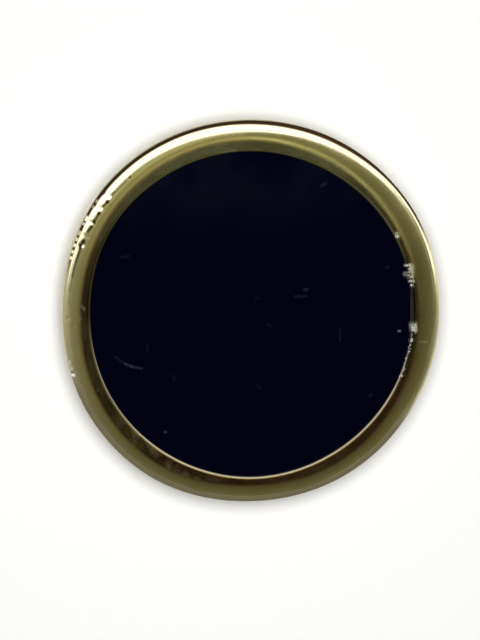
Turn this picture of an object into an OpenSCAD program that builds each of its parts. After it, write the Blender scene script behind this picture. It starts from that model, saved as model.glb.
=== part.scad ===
// Round cufflink: a gold rim round a flat black stone, on a post with a fixed bar.
// It stands face up on the flat underside of its bar, with the bar along X.

/* [Face] */
// Diameter across the gold rim
face_d = 19; // [18:0.2:22]
// Thickness of the face, from the front of the rim to its back
face_h = 3.1; // [2.8:0.1:4]
// Width of the gold rim, seen from the front
rim_w = 1.45; // [1.2:0.05:2.4]
// Width of the rounded shoulder on the rim's outer edge
shoulder_w = 0.9; // [0.6:0.05:1]
// Radius of the shoulder's curve
shoulder_r = 1.2; // [1:0.05:1.6]

/* [Stone] */
// How far the stone's polished top lies under the front of the rim
recess = 0.3; // [0.3:0.05:0.5]
// Thickness of the stone
stone_h = 1.45; // [1:0.05:1.6]

/* [Post and bar] */
// Free height between the face and the bar, where the cuff goes
cuff_gap = 10.8; // [9:0.2:14]
// Diameter of the post
post_d = 2.4; // [2:0.1:3]
// Length of the bar from tip to tip
bar_l = 16; // [14:0.5:18]
// Diameter of the bar
bar_d = 6; // [5.4:0.2:7]
// Height of the bar's axis above its flat underside
bar_axis = 0.8; // [0.6:0.1:1.2]

/* [Hidden] */
$fn = 128;

// Gap left between the pieces that the rim holds together
fit_gap = 0.05;
// How far the rim's front lip and back lip reach in over what they hold
front_lip = 0.5;
back_lip = 0.45;
// Thickness of the back lip
back_lip_h = 0.35;
// Rounds on the front lip's inner edge and on the rim's back corner
lip_round = 0.15;
back_round = 0.6;
// Bevel on the stone's edges
stone_bevel = 0.1;
// Radius of the concave flare where the post leaves the plate
head_flare = 1.3;
// Taper of the post's foot: how far it widens, and its height in and above the bar
foot_flare = 0.7;
foot_h = 1.4;
foot_rise = 0.5;

rim_r = face_d / 2;
window_r = rim_r - rim_w;
bore_r = window_r + front_lip;
post_r = post_d / 2;
bar_r = bar_d / 2;

bar_top = bar_axis + bar_r;
face_back = bar_top + cuff_gap;
face_front = face_back + face_h;
stone_top = face_front - recess;
stone_back = stone_top - stone_h;
plate_front = stone_back - fit_gap;
plate_back = face_back + back_lip_h + fit_gap;

gold = [0.72, 0.64, 0.33];
black = [0.02, 0.02, 0.06];

// What a round of radius r takes off a square corner. The round's centre is at
// the origin, and the corner points to +x and +y.
module corner_waste(r) {
    difference() {
        square(2 * r);
        circle(r);
    }
}

// Half section of the rim as a plain ring with its three corners rounded.
module ring_section() {
    difference() {
        translate([window_r, face_back]) square([rim_w, face_h]);
        translate([rim_r - shoulder_w, face_front - shoulder_r]) corner_waste(shoulder_r);
        translate([window_r + lip_round, face_front - lip_round])
            mirror([1, 0])
                corner_waste(lip_round);
        translate([rim_r - back_round, face_back + back_round])
            mirror([0, 1])
                corner_waste(back_round);
    }
}

// The rim holds the stone and the plate between its front lip and its back lip.
module bezel() {
    seat_back = face_back + back_lip_h;
    seat_front = stone_top + fit_gap;
    color(gold)
        rotate_extrude()
            difference() {
                ring_section();
                translate([0, seat_back]) square([bore_r, seat_front - seat_back]);
                square([bore_r - back_lip, seat_back]);
            }
}

// The stone is a flat disc with a fine bevel on both edges.
module stone() {
    stone_r = bore_r - fit_gap;
    color(black)
        rotate_extrude()
            polygon([
                [0, stone_back],
                [stone_r - stone_bevel, stone_back],
                [stone_r, stone_back + stone_bevel],
                [stone_r, stone_top - stone_bevel],
                [stone_r - stone_bevel, stone_top],
                [0, stone_top]
            ]);
}

// The round plate that closes the rim's back.
module plate() {
    translate([0, 0, plate_back]) cylinder(r = bore_r - fit_gap, h = plate_front - plate_back);
}

// The post, with a concave flare under the plate and a tapered foot on the bar.
module post() {
    translate([0, 0, bar_axis]) cylinder(r = post_r, h = plate_back + fit_gap - bar_axis);
    translate([0, 0, bar_top + foot_rise - foot_h])
        cylinder(r1 = post_r + foot_flare, r2 = post_r, h = foot_h);
    rotate_extrude()
        difference() {
            translate([0, plate_back - head_flare])
                square([post_r + head_flare, head_flare + fit_gap]);
            translate([post_r + head_flare, plate_back - head_flare]) circle(head_flare);
        }
}

// Half outline of the bar, a rod with round ends, for turning about its length.
module rod_section() {
    intersection() {
        union() {
            square([bar_d, bar_l - bar_d], center = true);
            translate([0, bar_l / 2 - bar_r]) circle(bar_r);
            translate([0, bar_r - bar_l / 2]) circle(bar_r);
        }
        translate([0, -bar_l]) square(2 * bar_l);
    }
}

// The bar is cut flat underneath, so that the cufflink stands on it.
module bar() {
    intersection() {
        translate([0, 0, bar_axis])
            rotate([0, 90, 0])
                rotate_extrude()
                    rod_section();
        translate([-bar_l, -bar_d, 0]) cube([2 * bar_l, 2 * bar_d, bar_d]);
    }
}

// Plate, post and bar are soldered, so they are one solid.
module bar_back() {
    color(gold)
        union() {
            plate();
            post();
            bar();
        }
}

bezel();
stone();
bar_back();
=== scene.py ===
"""A round cufflink with a gold rim and a black stone, standing face up on its bar."""

import math
import random

import bmesh
import bpy
from mathutils import Matrix, Vector, noise


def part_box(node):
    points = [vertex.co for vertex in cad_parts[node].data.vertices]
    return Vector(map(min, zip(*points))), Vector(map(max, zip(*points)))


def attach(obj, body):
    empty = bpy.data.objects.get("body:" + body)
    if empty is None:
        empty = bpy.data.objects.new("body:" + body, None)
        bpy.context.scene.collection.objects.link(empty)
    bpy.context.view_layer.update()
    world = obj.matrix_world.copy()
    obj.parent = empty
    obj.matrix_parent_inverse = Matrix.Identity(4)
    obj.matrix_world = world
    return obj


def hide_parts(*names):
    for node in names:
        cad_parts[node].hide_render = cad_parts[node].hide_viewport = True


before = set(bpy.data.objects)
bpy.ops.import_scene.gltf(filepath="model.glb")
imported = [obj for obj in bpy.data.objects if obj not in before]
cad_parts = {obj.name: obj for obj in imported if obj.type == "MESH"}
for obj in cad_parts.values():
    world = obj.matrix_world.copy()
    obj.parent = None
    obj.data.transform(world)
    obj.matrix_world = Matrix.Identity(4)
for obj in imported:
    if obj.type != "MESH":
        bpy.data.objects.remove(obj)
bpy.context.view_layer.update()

MM = 0.001
FULL_TURN = 2 * math.pi
# Points closer together than this count as one
HAIR = 0.001 * MM

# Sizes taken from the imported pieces
rim_low, rim_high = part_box("bezel")
stone_low, stone_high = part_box("stone")
_, back_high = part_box("bar_back")
rim_r = rim_high.x
face_front = rim_high.z
face_back = rim_low.z
stone_r = stone_high.x
stone_top = stone_high.z
stone_back = stone_low.z
plate_r = back_high.y
plate_front = back_high.z

# Sizes of the rim's section, as the solids have them
FIT_GAP = 0.05 * MM
RIM_W = 1.45 * MM
SHOULDER_W = 0.9 * MM
SHOULDER_R = 1.2 * MM
LIP_ROUND = 0.15 * MM
BACK_ROUND = 0.6 * MM
BACK_LIP = 0.45 * MM
BACK_LIP_H = 0.35 * MM
window_r = rim_r - RIM_W
lip_out = window_r + LIP_ROUND
land_out = rim_r - SHOULDER_W
bore_r = stone_r + FIT_GAP
seat_front = stone_top + FIT_GAP
seat_back = face_back + BACK_LIP_H

# Sizes of the post and the bar, as the solids have them
POST_R = 1.2 * MM
HEAD_FLARE = 1.3 * MM
BAR_L = 16 * MM
BAR_R = 3 * MM
BAR_AXIS = 0.8 * MM
bar_top = BAR_AXIS + BAR_R
plate_back = seat_back + FIT_GAP

# Fine rounds that only the finished pieces have
SHOULDER_EDGE = 0.06 * MM
BACK_EDGE = 0.06 * MM
STONE_EDGE = 0.1 * MM
PLATE_EDGE = 0.08 * MM
BAR_EDGE = 0.12 * MM
# The narrow ring of facets that keeps the stone's shading flat right up to its rounds
STONE_RING = 0.05 * MM
# The solder that spreads from the post onto the bar, and how deep its foot sinks in
FOOT_R = 0.75 * MM
FOOT_SINK = 0.02 * MM

# How many facets each turned piece has round its axis
RIM_STEPS = 1320
STONE_STEPS = 360
POST_STEPS = 240
BAR_STEPS = 180
# A turned piece is made as one wedge, which is then copied round
WEDGES = 12

# The photo looks down on the face from a little behind and to the left of its axis
TILT_BACK = math.radians(6)
TILT_LEFT = math.radians(3.4)
# A long lens, so that the picture is almost free of perspective, as a scan is
LENS = 500
SENSOR = 36
# The height that the picture spans at the face, and the picture's size in pixels
PICTURE_H = 32.06 * MM
PICTURE_SIZE = (480, 640)
CAMERA_DISTANCE = PICTURE_H / SENSOR * LENS
# The picture's point in the middle of the face, and how far that lies under the rim's front
FACE_AT = (249.0, 310.2)
AIM_DEPTH = 1.55 * MM

towards = Vector((-math.sin(TILT_LEFT), math.sin(TILT_BACK), 1)).normalized()
picture_up = (Vector((0, 1, 0)) - towards * towards.y).normalized()
picture_right = picture_up.cross(towards)
per_pixel = PICTURE_H / PICTURE_SIZE[1]
face_middle = Vector((0, 0, face_front - AIM_DEPTH))

# Heights at which marks in the photo are placed on the rim
shoulder_level = face_front - 0.15 * MM
edge_level = face_front - 0.4 * MM


def in_picture(x, y):
    """A point of the picture, in pixels from its top left corner, at the depth of the face."""
    across = picture_right * ((x - FACE_AT[0]) * per_pixel)
    down = picture_up * ((y - FACE_AT[1]) * per_pixel)
    return face_middle + across - down


camera_place = in_picture(PICTURE_SIZE[0] / 2, PICTURE_SIZE[1] / 2) + towards * CAMERA_DISTANCE


def at_pixel(pixel, height):
    """The place at this height that the photo shows in the middle of a pixel."""
    place = in_picture(pixel[0] + 0.5, pixel[1] + 0.5)
    return place.lerp(camera_place, (height - place.z) / (camera_place.z - place.z))


def photo_camera():
    """The camera, with the photo's angle and framing."""
    data = bpy.data.cameras.new("photo_camera")
    data.lens = LENS
    data.sensor_width = SENSOR
    data.clip_start = 0.01
    data.clip_end = 10
    camera = bpy.data.objects.new("photo_camera", data)
    bpy.context.scene.collection.objects.link(camera)
    turn = Matrix((picture_right, picture_up, towards)).transposed().to_4x4()
    camera.matrix_world = Matrix.Translation(camera_place) @ turn
    bpy.context.scene.camera = camera


def share_between(value, low, high):
    """Rises evenly from 0 at low to 1 at high."""
    return min(max((value - low) / (high - low), 0), 1)


def ramp(value, low, high):
    """Rises smoothly from 0 at low to 1 at high."""
    share = share_between(value, low, high)
    return share * share * (3 - 2 * share)


def draw_section(mesh, start, strokes):
    """Draws an outline in the XZ plane from (radius, height) points.

    A stroke is the end point of a straight line, or the centre, sweep in degrees
    and steps of an arc. A positive sweep turns from up towards outwards.
    """
    tip = mesh.verts.new((start[0], 0, start[1]))
    for stroke in strokes:
        if len(stroke) == 2:
            tip = bmesh.ops.extrude_vert_indiv(mesh, verts=[tip])["verts"][0]
            tip.co = (stroke[0], 0, stroke[1])
        else:
            centre, sweep, steps = stroke
            made = bmesh.ops.spin(
                mesh,
                geom=[tip],
                cent=(centre[0], 0, centre[1]),
                axis=(0, 1, 0),
                angle=math.radians(sweep),
                steps=steps,
            )
            tip = [v for v in made["geom_last"] if isinstance(v, bmesh.types.BMVert)][0]


def straight(start, end, pieces):
    """The strokes of a straight line that is cut into pieces."""
    return [
        tuple(a + (b - a) * (i + 1) / pieces for a, b in zip(start, end))
        for i in range(pieces)
    ]


def turn_section(mesh, steps):
    """Turns the drawn outline once about Z into a closed skin."""
    bmesh.ops.remove_doubles(mesh, verts=mesh.verts, dist=HAIR)
    bmesh.ops.spin(
        mesh,
        geom=mesh.verts[:] + mesh.edges[:],
        cent=(0, 0, 0),
        axis=(0, 0, 1),
        angle=FULL_TURN / WEDGES,
        steps=steps // WEDGES,
    )
    bmesh.ops.spin(
        mesh,
        geom=mesh.verts[:] + mesh.edges[:] + mesh.faces[:],
        cent=(0, 0, 0),
        axis=(0, 0, 1),
        angle=FULL_TURN * (WEDGES - 1) / WEDGES,
        steps=WEDGES - 1,
        use_duplicate=True,
    )
    bmesh.ops.remove_doubles(mesh, verts=mesh.verts, dist=HAIR)
    bmesh.ops.recalc_face_normals(mesh, faces=mesh.faces)


def make_piece(name, mesh, material, stands_for=None, sharp=35):
    """Turns a bmesh into a named piece that rides on the part.

    Edges that turn by more than sharp, in degrees, stay crisp.
    """
    data = bpy.data.meshes.new(name)
    mesh.to_mesh(data)
    mesh.free()
    data.polygons.foreach_set("use_smooth", [True] * len(data.polygons))
    data.set_sharp_from_angle(angle=math.radians(sharp))
    data.materials.append(material)
    piece = bpy.data.objects.new(name, data)
    bpy.context.scene.collection.objects.link(piece)
    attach(piece, "root")
    if stands_for:
        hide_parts(stands_for)


# How the worn rim departs from true circles, in mm: one row for each azimuth in degrees,
# with the shift outwards of the lip, of the shoulder's start and of the outer edge
OUT_OF_ROUND = [
    (0, 0.02, -0.23, -0.03),
    (30, 0.04, -0.27, 0.12),
    (60, 0.00, -0.16, 0.105),
    (90, 0.03, -0.05, 0.04),
    (120, 0.035, -0.08, 0.06),
    (150, 0.06, -0.15, 0.015),
    (180, -0.05, -0.20, -0.12),
    (210, 0.04, 0.03, 0.04),
    (240, 0.11, 0.17, 0.13),
    (270, 0.16, -0.04, 0.00),
    (300, 0.08, 0.02, 0.00),
    (330, 0.04, -0.19, -0.05),
]
row_step = 360 / len(OUT_OF_ROUND)


def out_of_round(turn):
    """The three shifts at an angle, along a smooth curve through the rows of the table."""
    place = math.degrees(turn) % 360 / row_step
    row = int(place)
    t = place - row
    rows = [OUT_OF_ROUND[(row + i) % len(OUT_OF_ROUND)][1:] for i in (-1, 0, 1, 2)]
    shifts = []
    for before, here, after, beyond in zip(*rows):
        slope_in = (after - before) / 2
        slope_out = (beyond - here) / 2
        bend = 3 * (after - here) - 2 * slope_in - slope_out
        twist = 2 * (here - after) + slope_in + slope_out
        shifts.append((here + t * (slope_in + t * (bend + t * twist))) * MM)
    return shifts


def bring_out_of_round(mesh):
    """Shifts the lip, the shoulder's start and the outer edge as the rim has them after its wear.

    Each point keeps its radius on the true section as section_radius, for the finish.
    """
    section_radius = mesh.verts.layers.float.new("section_radius")
    for vert in mesh.verts:
        radius = vert.co.xy.length
        vert[section_radius] = radius
        lip, shoulder, edge = out_of_round(math.atan2(vert.co.y, vert.co.x))
        shift = edge * ramp(radius, land_out, rim_r)
        if vert.co.z > seat_front + HAIR or radius < window_r + HAIR:
            across_land = share_between(radius, lip_out, land_out)
            shift += lip * (1 - across_land)
            shift += shoulder * min(across_land, 1 - ramp(radius, land_out, rim_r))
        vert.co.xy *= 1 + shift / radius


# Height and spacing of the soft unevenness that polishing leaves, in mm
UNEVEN = ((0.004, 1.4), (0.0012, 0.45))


def polish_by_hand(mesh):
    """Leaves the rim slightly uneven, always inwards of its true surface."""
    mesh.normal_update()
    moves = []
    for vert in mesh.verts:
        depth = 0
        for height, spacing in UNEVEN:
            depth += height * MM * (0.5 + 0.5 * noise.noise(vert.co / (spacing * MM)))
        moves.append(vert.normal * depth)
    for vert, move in zip(mesh.verts, moves):
        vert.co -= move


# Dings in the front of the rim: pixel in the photo, then in mm the length along the rim,
# the widths of the inner and of the outer side, and the depth
DINGS = [
    ((107.6, 195.8), 0.13, 0.15, 0.55, 0.031),
    ((99.2, 207.6), 0.12, 0.15, 0.55, 0.032),
    ((90.4, 221.8), 0.08, 0.13, 0.50, 0.024),
    ((86.2, 235.4), 0.10, 0.13, 0.20, 0.014),
    ((81.5, 244.7), 0.10, 0.11, 0.11, 0.034),
    ((82.0, 308.0), 0.12, 0.07, 0.07, 0.006),
    ((78.5, 317.5), 0.10, 0.07, 0.07, 0.007),
    ((73.0, 324.5), 0.12, 0.08, 0.08, 0.010),
    ((70.5, 372.5), 0.12, 0.10, 0.10, 0.025),
    ((68.5, 365.0), 0.08, 0.08, 0.08, 0.012),
    ((97.0, 388.0), 0.08, 0.08, 0.08, 0.008),
    ((424.0, 262.0), 0.08, 0.08, 0.08, 0.008),
    ((330.0, 470.0), 0.10, 0.07, 0.07, 0.010),
    ((140.5, 444.0), 0.09, 0.07, 0.07, 0.010),
]
# Dings move nothing that lies farther under the rim's front, or farther from their middle
DING_DROP = 0.6 * MM
DING_REACH = 1.2 * MM


def press_dings(mesh):
    """Presses the dings into the front of the rim, outside its lip."""
    mesh.normal_update()
    lowest = face_front - DING_DROP
    front = [v for v in mesh.verts if v.co.z > lowest and v.co.xy.length > lip_out]
    for pixel, length, inner_side, outer_side, depth in DINGS:
        centre = at_pixel(pixel, shoulder_level).xy
        outwards = centre.normalized()
        along = Vector((-outwards.y, outwards.x))
        for vert in front:
            offset = vert.co.xy - centre
            if offset.length > DING_REACH:
                continue
            across = offset.dot(outwards)
            width = outer_side if across > 0 else inner_side
            shares = (offset.dot(along) / (length * MM), across / (width * MM))
            press = math.exp(-(shares[0] ** 2 + shares[1] ** 2))
            vert.co -= vert.normal * (depth * MM * press)


def rim_outline():
    """The strokes of the rim's section, from its window over the front to the back."""
    arc_r = SHOULDER_R - SHOULDER_EDGE
    slope = math.asin((SHOULDER_W - SHOULDER_EDGE) / arc_r)
    sweep = math.degrees(slope)
    edge_drop = arc_r * (1 - math.cos(slope))
    edge_centre = (rim_r - SHOULDER_EDGE, face_front - SHOULDER_EDGE - edge_drop)
    back_in = bore_r - BACK_LIP
    return [
        (window_r, face_front - LIP_ROUND),
        ((lip_out, face_front - LIP_ROUND), 90, 10),
        *straight((lip_out, face_front), (land_out, face_front), 5),
        ((land_out, face_front - SHOULDER_R), sweep, 26),
        (edge_centre, 90 - sweep, 5),
        *straight((rim_r, edge_centre[1]), (rim_r, face_back + BACK_ROUND), 6),
        ((rim_r - BACK_ROUND, face_back + BACK_ROUND), 90, 6),
        (back_in + BACK_EDGE, face_back),
        ((back_in + BACK_EDGE, face_back + BACK_EDGE), 90, 3),
        (back_in, seat_back),
        (bore_r, seat_back),
        (bore_r, seat_front),
        (window_r, seat_front),
    ]


def rim_piece(material):
    """The rim: a thin rounded lip, a flat land, a rounded shoulder and an upright side."""
    mesh = bmesh.new()
    draw_section(mesh, (window_r, seat_front), rim_outline())
    turn_section(mesh, RIM_STEPS)
    bring_out_of_round(mesh)
    polish_by_hand(mesh)
    press_dings(mesh)
    make_piece("rim", mesh, material, "bezel")


def stone_piece(material):
    """The stone: a polished flat disc with a fine round on its edges."""
    flat_r = stone_r - STONE_EDGE
    mesh = bmesh.new()
    draw_section(
        mesh,
        (0, stone_back),
        [
            (flat_r - STONE_RING, stone_back),
            (flat_r, stone_back),
            ((flat_r, stone_back + STONE_EDGE), -90, 4),
            (stone_r, stone_top - STONE_EDGE),
            ((flat_r, stone_top - STONE_EDGE), -90, 4),
            (flat_r - STONE_RING, stone_top),
            (0, stone_top),
        ],
    )
    turn_section(mesh, STONE_STEPS)
    make_piece("black_stone", mesh, material, "stone")


def post_skin():
    """Plate, flare, post and the solder at its foot, which follows the top of the bar."""
    foot_top = bar_top + FOOT_R
    mesh = bmesh.new()
    draw_section(
        mesh,
        (0, plate_front),
        [
            *straight((0, plate_front), (plate_r - PLATE_EDGE, plate_front), 8),
            ((plate_r - PLATE_EDGE, plate_front - PLATE_EDGE), 90, 3),
            (plate_r, plate_back + PLATE_EDGE),
            ((plate_r - PLATE_EDGE, plate_back + PLATE_EDGE), 90, 3),
            *straight((plate_r - PLATE_EDGE, plate_back), (POST_R + HEAD_FLARE, plate_back), 8),
            ((POST_R + HEAD_FLARE, plate_back - HEAD_FLARE), -90, 16),
            *straight((POST_R, plate_back - HEAD_FLARE), (POST_R, foot_top), 24),
            ((POST_R + FOOT_R, foot_top), -80, 14),
            (POST_R + FOOT_R, bar_top - FOOT_R),
            (0, bar_top - FOOT_R),
        ],
    )
    turn_section(mesh, POST_STEPS)
    for vert in mesh.verts:
        beside = min(abs(vert.co.y), BAR_R)
        drop = BAR_R - math.sqrt(BAR_R ** 2 - beside ** 2) + FOOT_SINK
        if vert.co.z < foot_top:
            vert.co.z -= drop * (1 - ramp(vert.co.z, bar_top, foot_top))
    return mesh


def cut_flat(mesh):
    """Cuts a skin off at the floor, closes the cut and rounds its edge."""
    cut = bmesh.ops.bisect_plane(
        mesh,
        geom=mesh.verts[:] + mesh.edges[:] + mesh.faces[:],
        plane_co=(0, 0, 0),
        plane_no=(0, 0, -1),
        clear_outer=True,
    )
    edges = [e for e in cut["geom_cut"] if isinstance(e, bmesh.types.BMEdge)]
    bmesh.ops.holes_fill(mesh, edges=edges)
    bmesh.ops.bevel(
        mesh,
        geom=edges,
        offset=BAR_EDGE,
        affect="EDGES",
        segments=3,
        profile=0.5,
        material=-1,
        clamp_overlap=True,
    )
    bmesh.ops.recalc_face_normals(mesh, faces=mesh.faces)


def bar_skin():
    """A rod with round ends along X, cut flat where the cufflink stands on it."""
    straight_half = BAR_L / 2 - BAR_R
    mesh = bmesh.new()
    draw_section(
        mesh,
        (0, -BAR_L / 2),
        [
            ((0, -straight_half), -90, 32),
            *straight((BAR_R, -straight_half), (BAR_R, straight_half), 40),
            ((0, straight_half), -90, 32),
        ],
    )
    turn_section(mesh, BAR_STEPS)
    lie_down = Matrix.Translation((0, 0, BAR_AXIS)) @ Matrix.Rotation(math.pi / 2, 4, "Y")
    bmesh.ops.transform(mesh, matrix=lie_down, verts=mesh.verts)
    cut_flat(mesh)
    return mesh


def loose_object(name, mesh):
    """Turns a bmesh into an object that isn't a piece of the cufflink."""
    data = bpy.data.meshes.new(name)
    mesh.to_mesh(data)
    mesh.free()
    made = bpy.data.objects.new(name, data)
    bpy.context.scene.collection.objects.link(made)
    return made


def back_piece(material):
    """Plate, post and bar, soldered into one skin."""
    post = loose_object("post_skin", post_skin())
    bar = loose_object("bar_skin", bar_skin())
    union = post.modifiers.new("solder", "BOOLEAN")
    union.operation = "UNION"
    union.solver = "EXACT"
    union.object = bar
    soldered = post.evaluated_get(bpy.context.evaluated_depsgraph_get()).to_mesh()
    mesh = bmesh.new()
    mesh.from_mesh(soldered)
    bmesh.ops.remove_doubles(mesh, verts=mesh.verts, dist=HAIR)
    bpy.data.objects.remove(post)
    bpy.data.objects.remove(bar)
    make_piece("bar_and_post", mesh, material, "bar_back")


# Dried white polish along the stone's right edge, as heaps of lumps: pixel, width and
# height in pixels, and how many lumps
CRUMBS = [
    ((396.6, 235.0), 4.6, 6.0, 22),
    ((407.6, 264.6), 7.6, 2.4, 24),
    ((410.0, 269.6), 4.8, 7.0, 34),
    ((406.0, 273.6), 6.0, 4.0, 12),
    ((410.2, 275.6), 3.6, 4.4, 12),
    ((411.0, 280.8), 5.2, 2.8, 18),
    ((411.4, 284.8), 3.8, 2.8, 7),
    ((413.4, 327.0), 6.6, 8.6, 64),
    ((411.0, 334.6), 2.6, 3.4, 3),
    ((410.6, 339.6), 4.4, 4.0, 12),
    ((409.4, 346.2), 3.0, 6.0, 6),
    ((408.0, 351.4), 3.0, 4.6, 6),
    ((405.8, 357.4), 2.6, 5.4, 6),
    ((404.0, 364.0), 2.2, 6.0, 3),
    ((403.4, 369.4), 2.8, 6.0, 8),
    ((400.6, 375.2), 4.4, 3.2, 8),
]
CRUMB_SEED = 7
# How far from a heap's middle its lumps lie, as a share of its width and height
HEAP_SPREAD = 0.45
# How high a heap stands over the rim's front in its middle, and how deep it sits in the lip
HEAP_TOP = 0.05 * MM
LIP_SINK = 0.01 * MM
# How close over the stone a lump lies, and how near the lip it still climbs up to it
STONE_GAP = 0.002 * MM
CLIMB = 0.15 * MM
# The widths of the lumps, and the share that they lose towards the border of a heap
LUMP_WIDTHS = (0.06 * MM, 0.11 * MM)
LUMP_TAPER = 0.4
# The lengths of the lumps, and their height on the open stone, as shares of their width
LUMP_LENGTHS = (0.7, 1.3)
LUMP_HEIGHT = 0.7
# How rough a lump is, as a share of its size, and the spacing of that roughness
LUMP_ROUGH = 0.4
ROUGH_SPACING = 0.06 * MM


def add_lump(mesh, chance, pixel, width, height):
    """Adds one rough lump to a heap, on the stone or over the lip beside it."""
    turn = chance.uniform(0, FULL_TURN)
    reach = math.sqrt(chance.random())
    place = (
        pixel[0] + HEAP_SPREAD * width * reach * math.cos(turn),
        pixel[1] + HEAP_SPREAD * height * reach * math.sin(turn),
    )
    across = chance.uniform(*LUMP_WIDTHS) * (1 - LUMP_TAPER * reach)
    middle = at_pixel(place, face_front)
    bottom = face_front - LIP_SINK
    top = face_front + HEAP_TOP * (1 - reach)
    if middle.xy.length < window_r:
        bottom = stone_top + STONE_GAP
    if middle.xy.length < window_r - CLIMB:
        middle = at_pixel(place, stone_top)
        top = stone_top + LUMP_HEIGHT * across
    middle.z = (top + bottom) / 2
    lump = bmesh.ops.create_icosphere(mesh, subdivisions=1, radius=0.5)["verts"]
    size = Vector((across, across * chance.uniform(*LUMP_LENGTHS), top - bottom))
    bmesh.ops.scale(mesh, vec=size, verts=lump)
    bmesh.ops.translate(mesh, vec=middle, verts=lump)
    for vert in lump:
        rough = 1 + LUMP_ROUGH * noise.noise(vert.co / ROUGH_SPACING)
        vert.co = middle + (vert.co - middle) * rough
        vert.co.z = max(vert.co.z, bottom)


def crumb_piece(material):
    """The polish: heaps of small lumps."""
    chance = random.Random(CRUMB_SEED)
    mesh = bmesh.new()
    for pixel, width, height, lumps in CRUMBS:
        for _ in range(lumps):
            add_lump(mesh, chance, pixel, width, height)
    make_piece("dried_polish", mesh, material, sharp=60)


def set_inputs(tree, node, inputs):
    """Links each input to another node's output, or sets it to a plain value."""
    for key, value in inputs.items():
        if isinstance(value, bpy.types.NodeSocket):
            tree.links.new(value, node.inputs[key])
        else:
            node.inputs[key].default_value = value


def shade(tree, kind, inputs, output=0, **settings):
    """Adds a shader node, links or sets its inputs, and returns one of its outputs."""
    node = tree.nodes.new("ShaderNode" + kind)
    for name, value in settings.items():
        setattr(node, name, value)
    set_inputs(tree, node, inputs)
    return node.outputs[output]


def maths(tree, operation, *values):
    """One step of arithmetic."""
    return shade(tree, "Math", dict(enumerate(values)), operation=operation)


def carry_on(tree, operation, values):
    """One operation, carried on through all the values."""
    total = values[0]
    for value in values[1:]:
        total = maths(tree, operation, total, value)
    return total


def times(tree, *values):
    """The product of the values."""
    return carry_on(tree, "MULTIPLY", values)


def plus(tree, *values):
    """The sum of the values."""
    return carry_on(tree, "ADD", values)


def minus(tree, value, other):
    """One value less another."""
    return maths(tree, "SUBTRACT", value, other)


def highest(tree, *values):
    """The highest of the values."""
    return carry_on(tree, "MAXIMUM", values)


def vectors(tree, operation, *values):
    """One step of vector arithmetic."""
    return shade(tree, "VectorMath", dict(enumerate(values)), operation=operation)


def scaled(tree, vector, amount):
    """A vector or a colour, times an amount."""
    return shade(tree, "VectorMath", {0: vector, "Scale": amount}, operation="SCALE")


def measure(tree, operation, *values):
    """A length, a distance or a dot product of vectors."""
    return shade(tree, "VectorMath", dict(enumerate(values)), "Value", operation=operation)


def axes(tree, vector):
    """A vector's three parts."""
    node = shade(tree, "SeparateXYZ", {0: vector}).node
    return node.outputs[0], node.outputs[1], node.outputs[2]


def between(tree, value, low, high, start=0.0, end=1.0):
    """Goes smoothly from start, where the value is low, to end, where it is high."""
    inputs = {"Value": value, "From Min": low, "From Max": high, "To Min": start, "To Max": end}
    return shade(tree, "MapRange", inputs, interpolation_type="SMOOTHSTEP")


def each_fade(tree, place, rows):
    """A fade for each row, which names a value of the place and says what between takes."""
    return [between(tree, place[part], *fade) for part, *fade in rows]


def patch(tree, place, rows):
    """The product of a table's fades."""
    return times(tree, *each_fade(tree, place, rows))


def tint(tree, amount, first, second):
    """Mixes two colours."""
    inputs = {0: amount}
    for socket, colour in ((6, first), (7, second)):
        inputs[socket] = (*colour, 1) if isinstance(colour, tuple) else colour
    return shade(tree, "Mix", inputs, 2, data_type="RGBA")


def grain(tree, vector, spacing, detail=2.0):
    """Noise from 0 to 1 with lumps of about this spacing."""
    return shade(tree, "TexNoise", {"Vector": vector, "Scale": 1 / spacing, "Detail": detail})


def new_finish(name):
    """An empty material: its nodes, its shader and the place on the piece."""
    material = bpy.data.materials.new(name)
    material.use_nodes = True
    tree = material.node_tree
    where = shade(tree, "TexCoord", {}, "Object")
    return material, tree, tree.nodes["Principled BSDF"], where


GOLD = (0.93, 0.86, 0.44)
WARM_GOLD = (0.90, 0.78, 0.38)
GREEN_GOLD = (0.78, 0.82, 0.42)
BROWN_GOLD = (0.86, 0.60, 0.30)
WORN_LIP = (0.32, 0.29, 0.16)
# Painted shade on the lip's round at its right and left
LIP_SHADE = (0.05, 0.04, 0.03)
# Near black, for pits and for painted shade along the highlight's inner edge
PIT_AND_SHADE = (0.016, 0.010, 0.004)
# Near white, for pale scratches and for painted glints at nicks
SCRATCH_AND_GLINT = (0.90, 0.88, 0.76)
CHALK = (0.42, 0.42, 0.36)
# Painted shade along the rim's outer edge, laid on as a dull layer: brown at the top, olive lower
# down
BROWN_EDGE_SHADE = (0.050, 0.028, 0.013)
OLIVE_EDGE_SHADE = (0.17, 0.15, 0.08)
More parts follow.
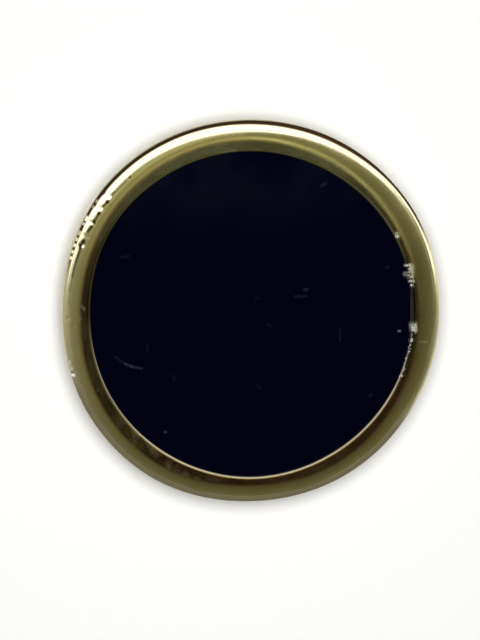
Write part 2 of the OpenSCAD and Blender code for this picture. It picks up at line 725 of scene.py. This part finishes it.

# Dark pits along the left shoulder, and painted shade along the inner edge of the highlight
# there: the two ends, half the width in pixels, and how dark
PITS_AND_SHADE = [
    ((107.2, 201.0), (106.6, 201.8), 1.7, 1.0),
    ((105.0, 203.6), (102.6, 205.6), 1.2, 0.7),
    ((113.6, 191.6), (111.0, 194.2), 1.1, 0.65),
    ((98.6, 212.6), (98.2, 213.4), 1.7, 1.0),
    ((98.2, 213.4), (94.0, 220.6), 1.2, 0.7),
    ((93.8, 220.8), (93.4, 221.8), 1.6, 1.0),
    ((91.2, 226.2), (87.4, 230.8), 1.4, 0.9),
    ((82.7, 240.6), (82.3, 241.6), 2.1, 1.0),
    ((80.0, 244.8), (79.6, 247.8), 1.6, 1.0),
    ((79.2, 249.8), (78.4, 252.2), 1.3, 0.8),
    ((78.4, 252.2), (74.2, 264.8), 1.3, 0.75),
    ((76.2, 257.8), (75.4, 260.4), 1.3, 0.7),
    ((74.2, 264.8), (71.6, 276.0), 1.2, 0.65),
    ((73.4, 266.6), (72.8, 269.0), 1.2, 0.6),
    ((71.3, 277.6), (68.9, 291.0), 1.2, 0.4),
    ((68.8, 292.5), (68.2, 304.0), 1.2, 0.2),
    ((129.8, 176.2), (129.0, 177.0), 1.2, 0.7),
    ((125.4, 180.4), (115.4, 191.0), 1.0, 0.35),
    ((71.6, 372.4), (72.0, 372.9), 1.2, 0.7),
    ((66.6, 316.4), (67.0, 317.2), 1.0, 0.3),
]
# Breaks in the painted shade along the upper left edge, with the same four values
BREAKS = [
    ((96.3, 199.6), (95.4, 201.2), 1.0, 0.5),
    ((92.6, 205.4), (92.0, 206.4), 0.9, 0.4),
    ((86.2, 216.6), (85.2, 219.0), 1.4, 1.0),
    ((83.2, 222.8), (82.8, 223.8), 1.0, 0.6),
    ((79.4, 231.4), (78.4, 233.6), 1.3, 0.5),
    ((76.6, 238.0), (76.0, 239.6), 1.2, 0.6),
    ((74.3, 244.0), (73.8, 245.4), 1.2, 0.8),
    ((72.2, 250.4), (71.8, 251.8), 1.1, 0.8),
    ((70.6, 256.6), (70.2, 258.0), 1.1, 0.8),
]
# Pale scratches on the rim, and painted glints at the nicks on its left, with the same four values
SCRATCHES_AND_GLINTS = [
    ((418.0, 340.9), (426.5, 341.6), 1.0, 0.05),
    ((72.4, 374.8), (73.4, 375.0), 1.5, 1.0),
    ((71.2, 367.8), (71.5, 369.2), 1.2, 0.5),
    ((69.4, 361.0), (69.6, 363.8), 1.2, 0.4),
    ((65.6, 320.8), (69.6, 318.8), 1.1, 0.12),
    ((81.0, 305.8), (83.4, 308.2), 2.0, 0.045),
    ((77.2, 313.6), (77.4, 318.2), 1.6, 0.04),
    ((219.0, 152.6), (235.0, 149.8), 1.1, 0.12),
    ((242.0, 149.2), (262.0, 148.4), 1.1, 0.05),
]
# Powder of the dried polish round the crumbs, with the same four values
POWDER = [
    ((396.4, 233.6), (396.6, 236.4), 2.4, 0.35),
    ((405.0, 264.6), (410.6, 264.4), 1.6, 0.50),
    ((410.2, 266.4), (410.4, 276.0), 3.2, 0.50),
    ((404.8, 273.4), (408.6, 273.4), 2.3, 0.30),
    ((409.8, 280.6), (412.4, 280.8), 1.9, 0.50),
    ((411.2, 283.4), (411.4, 286.0), 1.7, 0.45),
    ((411.2, 288.0), (411.4, 322.0), 1.2, 0.08),
    ((412.8, 324.4), (413.4, 329.0), 3.6, 0.50),
    ((411.4, 333.0), (410.6, 342.0), 1.7, 0.15),
    ((410.6, 339.0), (410.4, 340.4), 2.0, 0.25),
    ((410.0, 344.0), (407.4, 354.0), 1.6, 0.15),
    ((407.4, 354.0), (404.4, 364.0), 1.4, 0.15),
    ((405.3, 363.7), (398.8, 379.8), 1.4, 0.25),
    ((398.2, 330.6), (399.4, 330.5), 1.1, 0.22),
]
# A stroke keeps its strength out to the first share of its half width, and ends at the second
STROKE_CORE = 0.3
STROKE_END = 1.6


def soft_stroke(tree, where, height, start, end, half_width, strength):
    """A soft stroke between two pixels of the photo, on a surface at this height."""
    start, end = [at_pixel(pixel, height) for pixel in (start, end)]
    run = (end - start).xy.to_3d()
    offset = vectors(tree, "SUBTRACT", where, tuple(start))
    offset = vectors(tree, "MULTIPLY", offset, (1, 1, 0))
    share = measure(tree, "DOT_PRODUCT", offset, tuple(run))
    share = shade(tree, "Clamp", {0: maths(tree, "DIVIDE", share, run.length_squared)})
    distance = measure(tree, "DISTANCE", offset, scaled(tree, tuple(run), share))
    reach = half_width * per_pixel
    return between(tree, distance, STROKE_CORE * reach, STROKE_END * reach, strength, 0.0)


def strongest(tree, where, height, strokes):
    """All of a table's strokes, where the strongest one counts."""
    return highest(tree, *[soft_stroke(tree, where, height, *row) for row in strokes])


# Ways round the rim. Each one adds a value to a point's place, which is nearly the cosine of
# the point's angle from that way, as east and north are for the ways of X and Y.
RIM_WAYS = {
    "top": (-0.1, 1.0, 0.0),
    "upper": (-0.1, 0.99, 0.0),
    "lower": (0.26, -0.97, 0.0),
    "lower_left": (-0.53, -0.848, 0.0),
}
# Where the wear and the painted shade lie, as tables of fades that are multiplied. drop is the
# depth under the rim's front, and section is a point's radius before the rim wore out of round.
FRONT = [("drop", 0.45 * MM, 0.8 * MM, 1.0, 0.0)]
LAND = [
    ("radius", land_out - 0.1 * MM, land_out + 0.15 * MM, 1.0, 0.0),
    ("drop", 0.01 * MM, 0.05 * MM, 1.0, 0.0),
]
LIP = [("section", lip_out - 0.079 * MM, lip_out - 0.027 * MM, 1.0, 0.0)]
WIDE_LIP = [("section", lip_out + 0.03 * MM, lip_out + 0.12 * MM, 1.0, 0.0)]
SCUFFS = [*LAND, ("upper", 0.35, 0.95)]
TARNISH = [*LAND, ("lower", 0.35, 0.8)]
# Painted shade over the lip at the right and at the left, where its bright line is dark
LIP_SHADE_PATCHES = [
    [*WIDE_LIP, ("east", 0.85, 1.0)],
    [*WIDE_LIP, ("east", -0.9, -0.7, 0.62, 0.0), ("north", -0.2, 0.0)],
    [*LIP, ("east", -0.85, -0.55, 0.5, 0.0)],
]
MOTTLING = [
    ("section", land_out, land_out + 0.12 * MM, 1.0, 0.0),
    ("lower_left", 0.92, 0.985, 0.0, 0.04),
    ("speckle", 0.42, 0.66),
]
SPECKLE = (0.7 * MM, 3.0)

# The drop at which the painted shade along the outer edge starts: at the top the sum of these
# fades, at the bottom a fixed one, and a blend of both between these two norths
TOP_START = [
    ("east", -0.4, 0.5, 0.333 * MM, 0.267 * MM),
    ("east", 0.5, 0.87, 0.0, 0.035 * MM),
    ("east", -0.9, -0.83, -0.045 * MM, 0.0),
]
BOTTOM_START = 0.17 * MM
BOTTOM_TO_TOP = (-0.3, 0.3)
START_SOFTNESS = 0.04 * MM
# The painted shade is brown at the top, and fades out between these two drops
BROWN_PART = [("top", 0.1, 0.45)]
BROWN_ENDS = [
    ("east", -0.95, -0.75, 0.45 * MM, 1.2 * MM),
    ("east", -0.95, -0.75, 0.9 * MM, 3.1 * MM),
]
# It is olive at the bottom, at the left and at the right
OLIVE_PARTS = [
    [("north", -0.45, -0.15, 1.0, 0.0), ("east", 0.75, 0.98, 1.0, 0.0)],
    [("east", -0.9, -0.7, 0.6, 0.0)],
    [("east", 0.82, 0.94, 0.0, 0.4), ("north", -0.02, 0.14, 1.0, 0.0)],
]
OLIVE_END = [("drop", 1.9 * MM, 2.8 * MM, 1.0, 0.0)]


def rim_place(tree, where):
    """The values that the rim's wear and painted shade are placed by."""
    x, y, z = axes(tree, where)
    flat = shade(tree, "CombineXYZ", {0: x, 1: y})
    around = vectors(tree, "NORMALIZE", flat)
    east, north, _ = axes(tree, around)
    place = {
        "radius": measure(tree, "LENGTH", flat),
        "east": east,
        "north": north,
        "drop": minus(tree, face_front, z),
        "section": shade(tree, "Attribute", {}, "Fac", attribute_name="section_radius"),
        "speckle": grain(tree, where, *SPECKLE),
    }
    for name, way in RIM_WAYS.items():
        place[name] = measure(tree, "DOT_PRODUCT", around, way)
    return place


def painted_edge_shade(tree, place, breaks):
    """Painted shade along the outer edge, as a dull layer: its strength and its colour."""
    top_start = plus(tree, *each_fade(tree, place, TOP_START))
    start = between(tree, place["north"], *BOTTOM_TO_TOP, BOTTOM_START, top_start)
    past_start = minus(tree, place["drop"], start)
    started = between(tree, past_start, -START_SOFTNESS, START_SOFTNESS)
    brown_ends = each_fade(tree, place, BROWN_ENDS)
    brown = patch(tree, place, BROWN_PART)
    brown = times(tree, brown, between(tree, place["drop"], *brown_ends, 1.0, 0.0))
    olive = highest(tree, *[patch(tree, place, rows) for rows in OLIVE_PARTS])
    olive = times(tree, olive, patch(tree, place, OLIVE_END))
    edge_shade = times(tree, started, highest(tree, brown, olive), minus(tree, 1.0, breaks))
    return edge_shade, tint(tree, brown, OLIVE_EDGE_SHADE, BROWN_EDGE_SHADE)


def rim_wear_and_painted_light(tree, where, colour):
    """The rim's wear and painted light: colour, share of bare metal, dull layers and scuffs."""
    place = rim_place(tree, where)
    by_front = patch(tree, place, FRONT)
    breaks = times(tree, strongest(tree, where, edge_level, BREAKS), by_front)
    pits_and_shade = times(tree, strongest(tree, where, shoulder_level, PITS_AND_SHADE), by_front)
    scratches_and_glints = times(tree, strongest(tree, where, shoulder_level, SCRATCHES_AND_GLINTS), by_front)
    powder = strongest(tree, where, face_front, POWDER)
    # The dull layer along the outer edge is painted shade
    edge_shade, edge_shade_colour = painted_edge_shade(tree, place, breaks)
    scuffs = patch(tree, place, SCUFFS)
    layers = (
        (scuffs, GREEN_GOLD),
        (patch(tree, place, TARNISH), BROWN_GOLD),
        (patch(tree, place, LIP), WORN_LIP),
        (highest(tree, *[patch(tree, place, rows) for rows in LIP_SHADE_PATCHES]), LIP_SHADE),
        (edge_shade, edge_shade_colour),
        (pits_and_shade, PIT_AND_SHADE),
        (scratches_and_glints, SCRATCH_AND_GLINT),
        (powder, CHALK),
    )
    for amount, layer in layers:
        colour = tint(tree, amount, colour, layer)
    dull = highest(tree, edge_shade, scratches_and_glints, powder)
    # What counts as metal is the share of the colour's green that comes from bare gold
    bare = times(tree, minus(tree, 1.0, highest(tree, dull, pits_and_shade)), GOLD[1])
    green = shade(tree, "SeparateColor", {0: colour}, 1)
    metal = maths(tree, "MINIMUM", maths(tree, "DIVIDE", bare, green), 1.0)
    metal = times(tree, metal, minus(tree, 1.0, patch(tree, place, MOTTLING)))
    return colour, metal, dull, scuffs


# The gold's noises, as spacing and detail: warmer patches, and smears that change its gloss
WARM_PATCHES = (2.2 * MM, 3.0)
WARM_RANGE = (0.42, 0.62)
WARM_SHARE = 0.5
SMEARS = (3.0 * MM, 4.0)
# Streaks from turning: how far apart, how finely they vary on the way round, and how deep
STREAK_GAP = 0.09 * MM
STREAK_CHANGES = 14.0
STREAK_DEPTH = 0.0015 * MM
# How much the streaks add to the smears, which limits and results turn these into roughness,
# and how much scuffs and dull layers add to that
STREAKS_IN_SMEARS = 0.4
GOLD_ROUGHNESS = (0.4, 1.0, 0.13, 0.21)
SCUFF_ROUGHNESS = 0.09
DULL_ROUGHNESS = 0.35


def turned_streaks(tree, where):
    """Fine streaks that run round the axis."""
    x, y, z = axes(tree, where)
    flat = shade(tree, "CombineXYZ", {0: x, 1: y})
    around = scaled(tree, vectors(tree, "NORMALIZE", flat), STREAK_CHANGES)
    rise = maths(tree, "DIVIDE", plus(tree, measure(tree, "LENGTH", flat), z), STREAK_GAP)
    streak_place = vectors(tree, "ADD", around, shade(tree, "CombineXYZ", {2: rise}))
    return grain(tree, streak_place, 1.0)


def gold_finish(name, with_wear_and_painted_light=False):
    """Polished gold plate with fine streaks and warmer patches, and the rim's wear and painted
    light.
    """
    material, tree, shader, where = new_finish(name)
    warmth = between(tree, grain(tree, where, *WARM_PATCHES), *WARM_RANGE)
    colour = tint(tree, times(tree, warmth, WARM_SHARE), GOLD, WARM_GOLD)
    streaks = turned_streaks(tree, where)
    smears = plus(tree, grain(tree, where, *SMEARS), times(tree, streaks, STREAKS_IN_SMEARS))
    roughness = between(tree, smears, *GOLD_ROUGHNESS)
    metal = 1.0
    # The rim's gold also gets its wear and its painted shade and glints
    if with_wear_and_painted_light:
        colour, metal, dull, scuffs = rim_wear_and_painted_light(tree, where, colour)
        roughness = plus(
            tree,
            roughness,
            times(tree, scuffs, SCUFF_ROUGHNESS),
            times(tree, dull, DULL_ROUGHNESS),
        )
    relief = {"Height": streaks, "Distance": STREAK_DEPTH, "Strength": 1.0}
    look = {
        "Base Color": colour,
        "Metallic": metal,
        "Roughness": roughness,
        "Specular IOR Level": 0.0,
        "Normal": shade(tree, "Bump", relief),
    }
    set_inputs(tree, shader, look)
    return material


BLACK = (0.0007, 0.0008, 0.0050)
DUST = (0.0085, 0.0095, 0.0155)
# A painted sheen, which lightens the stone towards its top edge
PAINTED_SHEEN = (0.0030, 0.0036, 0.0085)

# Faint marks on the stone: the two ends and half the width in pixels, and how bright
STONE_MARKS = [
    ((303.8, 289.2), (306.6, 288.8), 1.4, 1.0),
    ((294.5, 296.0), (306.0, 295.8), 1.2, 0.6),
    ((254.0, 298.5), (259.0, 297.8), 1.4, 0.25),
    ((267.0, 324.0), (271.0, 326.0), 1.6, 0.3),
    ((146.4, 345.0), (146.8, 351.0), 1.5, 0.3),
    ((114.5, 356.3), (125.0, 363.6), 1.2, 0.5),
    ((125.0, 363.6), (131.0, 366.0), 1.3, 1.6),
    ((131.0, 366.0), (141.0, 368.2), 1.3, 1.2),
    ((173.0, 375.5), (173.8, 379.5), 1.7, 0.25),
    ((164.4, 431.6), (165.2, 431.6), 1.2, 2.4),
    ((257.0, 385.0), (259.5, 388.0), 1.8, 0.25),
    ((121.0, 257.0), (128.0, 255.6), 1.3, 0.45),
    ((339.2, 328.0), (339.8, 340.0), 1.0, 0.5),
    ((321.5, 185.0), (325.0, 183.0), 1.4, 0.8),
    ((385.5, 267.5), (388.0, 266.5), 1.3, 0.5),
    ((369.0, 395.5), (371.0, 394.5), 1.3, 0.5),
]
# A painted sheen rises towards the top edge and is broken up by clouds
PAINTED_SHEEN_RISE = (0.25 * stone_r, 0.95 * stone_r)
CLOUDS = (3.5 * MM, 3.0)
CLOUD_RANGE = (0.3, 0.7)
# Fine scuffs, and the limits and results that turn them into roughness
STONE_SCUFFS = (0.9 * MM, 4.0)
STONE_ROUGHNESS = (0.35, 0.75, 0.04, 0.10)


def stone_finish():
    """Polished black stone with a painted sheen towards its top edge, faint marks and powder."""
    material, tree, shader, where = new_finish("polished_black_stone_with_painted_sheen")
    _, y, _ = axes(tree, where)
    clouds = between(tree, grain(tree, where, *CLOUDS), *CLOUD_RANGE)
    painted_sheen = times(tree, between(tree, y, *PAINTED_SHEEN_RISE), clouds)
    marks = plus(tree, *[soft_stroke(tree, where, stone_top, *row) for row in STONE_MARKS])
    colour = vectors(tree, "ADD", tint(tree, painted_sheen, BLACK, PAINTED_SHEEN), scaled(tree, DUST, marks))
    look = {
        "Base Color": tint(tree, strongest(tree, where, stone_top, POWDER), colour, CHALK),
        "Roughness": between(tree, grain(tree, where, *STONE_SCUFFS), *STONE_ROUGHNESS),
        "Specular IOR Level": 0.4,
    }
    set_inputs(tree, shader, look)
    return material


STAINED_POLISH = (0.12, 0.12, 0.10)
CLEAN_POLISH = (0.52, 0.52, 0.45)
STAINS = (0.15 * MM, 3.0)
STAIN_RANGE = (0.3, 0.6)
POLISH_RELIEF = 0.01 * MM


def crumb_finish():
    """Dried white polish, chalky and a little stained."""
    material, tree, shader, where = new_finish("dried_white_polish")
    stains = grain(tree, where, *STAINS)
    clean = between(tree, stains, *STAIN_RANGE)
    relief = {"Height": stains, "Distance": POLISH_RELIEF, "Strength": 1.0}
    look = {
        "Base Color": tint(tree, clean, STAINED_POLISH, CLEAN_POLISH),
        "Roughness": 0.9,
        "Specular IOR Level": 0.2,
        "Normal": shade(tree, "Bump", relief),
    }
    set_inputs(tree, shader, look)
    return material


# What the polished metal reflects, as brightness. x, y and z are the parts of a direction,
# and spot is how far its x and y are from the dark spot, which the flat front reflects.
SPOT_AT = (0.059, -0.1045, 0.0)
SPOT_LIGHT = 0.006
SPOT_EDGE = (0.05, 0.28)
# The walls are this bright beside the spot, and brighter with the square of the distance
WALL_LIGHT = 0.058
WALL_RISE = 0.1
# Patches of dim light on them: at the left, low at the left, low at the right and behind
WALL_PATCHES = [
    [("x", -0.5, 0.1, 0.09, 0.0), ("y", -0.7, 0.0), ("y", 0.0, 0.35, 1.0, 0.2)],
    [
        ("z", 0.3, 0.58, 0.38, 0.0),
        ("x", -0.9, -0.5, 1.0, 0.0),
        ("y", -0.5, -0.1),
        ("y", 0.1, 0.4, 1.0, 0.0),
    ],
    [("z", 0.0, 0.45, 0.18, 0.0), ("x", 0.3, 0.6)],
    [("y", -0.05, 0.4, 0.0, 0.08)],
]
# Two faint bands of light: centre, radius, half width and light of the full ring, and then
# the fades that leave a part of it
BANDS = [
    (
        (0.02, -0.03, 0.0),
        0.277,
        0.14,
        0.4,
        [
            ("y", -0.06, 0.06),
            ("x", -0.3, 0.2, 0.4, 1.0),
            ("x", 0.04, 0.14, 1.0, 1.7),
            ("x", 0.20, 0.29, 1.0, 0.55),
        ],
    ),
    (SPOT_AT, 0.61, 0.14, 0.24, [("x", -0.15, 0.03, 1.0, 0.0), ("y", 0.0, 0.3)]),
]
# How far the spot and the bands are drawn in towards the back right
DRAWN_IN = [("x", 0.1, 0.2, 0.0, 0.11), ("y", -0.1, 0.0)]
# The walls are brown round the spot, a little less so at the back right, and paler far from
# the spot and at the left
BROWN_WALL = (1.0, 0.74, 0.44)
ROOM_COLOUR = (1.0, 0.975, 0.58)
PALE_WALL = (1.0, 1.0, 0.98)
BROWN_EDGE = (0.1, 0.5)
LESS_BROWN = [("x", 0.04, 0.14, 0.0, 0.25), ("y", -0.05, 0.05)]
PALER = [("spot", 0.6, 1.05, 0.0, 0.5), ("x", -0.8, -0.1, 0.5, 0.0)]
# The bright bank behind. Its top falls off to the sides along a curve, the sum of the fades
# raises it again there, and its front edge runs at a slight slant.
BANK_COLOUR = (1.0, 1.0, 1.35)
BANK_LIGHT = 1.5
BANK_TOP = 0.798
BANK_CURVE = -0.46
BANK_RAISED = [
    ("x", -0.65, -0.4, 0.080, 0.0),
    ("x", 0.15, 0.4, 0.0, 0.03),
    ("x", 0.35, 0.6, 0.0, 0.018),
]
TOP_SOFTNESS = 0.025
BANK_SLANT = 0.025
BANK_FRONT = (-0.075, 0.225)


def band_light(tree, way, centre, radius, half_width, light, part):
    """A soft band of light along a part of a ring."""
    reach = plus(tree, measure(tree, "DISTANCE", way["flat"], centre), way["drawn_in"])
    off = maths(tree, "ABSOLUTE", minus(tree, reach, radius))
    ring = between(tree, off, 0.0, half_width, light, 0.0)
    return times(tree, ring, *each_fade(tree, way, part))


def wall_light(tree, way):
    """Dim walls round the dark spot, with their patches and bands."""
    walls = plus(
        tree,
        WALL_LIGHT,
        times(tree, way["spot"], way["spot"], WALL_RISE),
        *[patch(tree, way, rows) for rows in WALL_PATCHES],
        *[band_light(tree, way, *band) for band in BANDS],
    )
    past_spot = between(tree, plus(tree, way["spot"], way["drawn_in"]), *SPOT_EDGE)
    return plus(tree, SPOT_LIGHT, times(tree, walls, past_spot))


def wall_colour(tree, way):
    """Brown round the spot, then the room's warm white, and paler far off."""
    off_brown = plus(tree, way["spot"], patch(tree, way, LESS_BROWN))
    colour = tint(tree, between(tree, off_brown, *BROWN_EDGE), BROWN_WALL, ROOM_COLOUR)
    paler = plus(tree, *each_fade(tree, way, PALER))
    return tint(tree, paler, colour, PALE_WALL)


def bank_light(tree, way):
    """The bright bank behind, which is low enough to show on the rim's shoulder alone."""
    x = way["x"]
    raised = each_fade(tree, way, BANK_RAISED)
    top = plus(tree, BANK_TOP, times(tree, x, x, BANK_CURVE), *raised)
    over_top = minus(tree, way["z"], top)
    bank = between(tree, over_top, -TOP_SOFTNESS, TOP_SOFTNESS, BANK_LIGHT, 0.0)
    slanted = plus(tree, way["y"], times(tree, x, BANK_SLANT))
    return times(tree, bank, between(tree, slanted, *BANK_FRONT))


def studio_world():
    """The walls and the bank that the metal reflects. The camera sees plain white."""
    world = bpy.data.worlds.new("studio")
    bpy.context.scene.world = world
    world.use_nodes = True
    world.cycles_visibility.diffuse = False
    tree = world.node_tree
    x, y, z = axes(tree, shade(tree, "TexCoord", {}, "Generated"))
    flat = shade(tree, "CombineXYZ", {0: x, 1: y})
    spot = measure(tree, "DISTANCE", flat, SPOT_AT)
    way = {"x": x, "y": y, "z": z, "flat": flat, "spot": spot}
    way["drawn_in"] = patch(tree, way, DRAWN_IN)
    walls = scaled(tree, wall_colour(tree, way), wall_light(tree, way))
    bank = scaled(tree, BANK_COLOUR, bank_light(tree, way))
    light = vectors(tree, "ADD", walls, bank)
    seen = shade(tree, "LightPath", {}, "Is Camera Ray")
    colour = tint(tree, seen, light, (1.0, 1.0, 1.0))
    set_inputs(tree, tree.nodes["Background"], {"Color": colour})


PAPER_LOOK = {
    "Base Color": (0.9, 0.9, 0.9, 1.0),
    "Roughness": 1.0,
    "Specular IOR Level": 0.0,
}
HALF_FLOOR = 1.0


def paper_floor():
    """The plain pale floor that the cufflink stands on."""
    mesh = bmesh.new()
    bmesh.ops.create_grid(mesh, x_segments=1, y_segments=1, size=HALF_FLOOR)
    floor = loose_object("floor", mesh)
    paper = bpy.data.materials.new("white_paper")
    paper.use_nodes = True
    set_inputs(paper.node_tree, paper.node_tree.nodes["Principled BSDF"], PAPER_LOOK)
    floor.data.materials.append(paper)


# The light's size and power, and how far it is to the right of the camera's axis and above
KEY_RADIUS = 19.5 * MM
KEY_POWER = 9.0
KEY_RIGHT = 1.9 * MM
KEY_UP = 0.9 * MM


def key_light():
    """A soft light beside the camera, which reflects in nothing."""
    light = bpy.data.lights.new("key", "POINT")
    light.energy = KEY_POWER
    light.shadow_soft_size = KEY_RADIUS
    key = bpy.data.objects.new("key", light)
    bpy.context.scene.collection.objects.link(key)
    over_face = face_middle + towards * CAMERA_DISTANCE
    key.location = over_face + picture_right * KEY_RIGHT + picture_up * KEY_UP
    key.visible_glossy = False
    key.visible_camera = False


rim_piece(gold_finish("worn_gold_plate_with_painted_light", with_wear_and_painted_light=True))
stone_piece(stone_finish())
back_piece(gold_finish("gold_back_plate"))
crumb_piece(crumb_finish())

photo_camera()
studio_world()
paper_floor()
key_light()
bpy.context.scene.view_settings.view_transform = "Standard"
